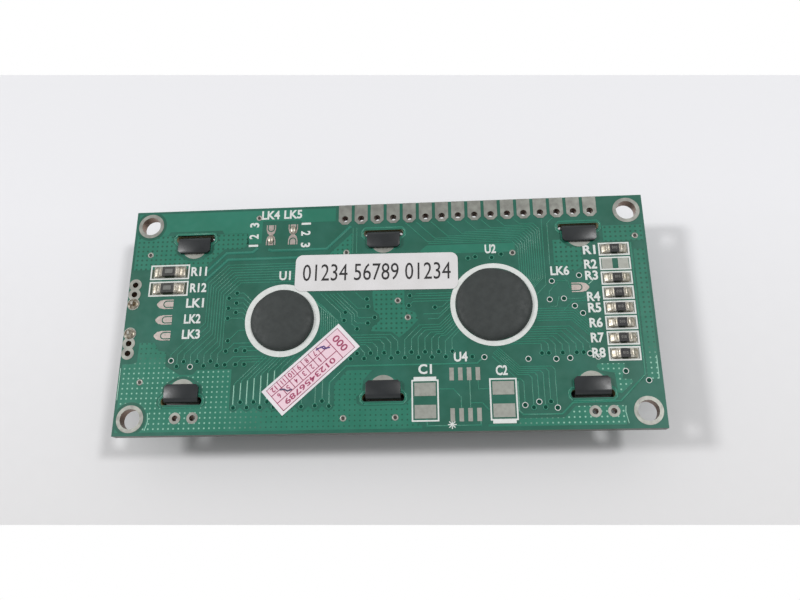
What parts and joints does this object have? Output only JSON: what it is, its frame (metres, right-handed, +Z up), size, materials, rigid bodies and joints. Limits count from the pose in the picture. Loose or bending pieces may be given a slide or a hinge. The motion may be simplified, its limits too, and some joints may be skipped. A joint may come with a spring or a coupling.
{
  "type": "character lcd module",
  "caption": "Rectangular display module lying face down: green circuit board with mounting holes and an edge row of pads, on a shallow black metal frame held by folded tabs.",
  "frame": {"origin": "under the middle of the circuit board, on the plane of the display face that the module lies on", "axes": "+X along the board, +Y to the edge with the row of connection pads, +Z up, out of the back of the board"},
  "size_m": [0.08, 0.036, 0.0099],
  "materials": {
    "black_frame": "satin",
    "polariser": "satin",
    "glass": "gloss",
    "seal_epoxy": "satin",
    "clear_plastic": "gloss",
    "white_plastic": "matte",
    "lamp": "gloss",
    "lead": "satin",
    "elastomer": "matte",
    "board": "satin",
    "tin": "satin",
    "solder": "gloss",
    "chip_body": "satin",
    "silicon": "gloss",
    "black_epoxy": "matte",
    "white_ink": "matte",
    "white_paper": "matte",
    "pink_paper": "matte"
  },
  "bodies": {
    "root": {"backlight_lamps": "lamp", "backlight_lead_far": "lead", "backlight_lead_near": "lead", "backlight_tray": "white_plastic", "cell_seal": "seal_epoxy", "circuit_board": "board", "component_pads": "tin", "connector_strip_far": "elastomer", "connector_strip_near": "elastomer", "diffuser_film": "white_plastic", "fill_plug": "seal_epoxy", "front_glass": "glass", "front_polariser": "polariser", "lamp_board": "white_plastic", "lead_solder": "solder", "left_chip": "silicon", "left_epoxy_coat": "black_epoxy", "light_guide": "clear_plastic", "link_pads": "tin", "link_solder": "solder", "metal_frame": "black_frame", "paper_label": "white_paper", "paper_sticker": "pink_paper", "printed_outlines": "white_ink", "printed_rings": "white_ink", "rear_glass": "glass", "rear_polariser": "polariser", "reflector_film": "white_plastic", "resistor_r1": "chip_body", "resistor_r10": "chip_body", "resistor_r2": "chip_body", "resistor_r3": "chip_body", "resistor_r4": "chip_body", "resistor_r5": "chip_body", "resistor_r6": "chip_body", "resistor_r8": "chip_body", "resistor_r9": "chip_body", "resistor_solder": "solder", "right_chip": "silicon", "right_epoxy_coat": "black_epoxy", "tab_pads": "tin"}
  },
  "joints": []
}
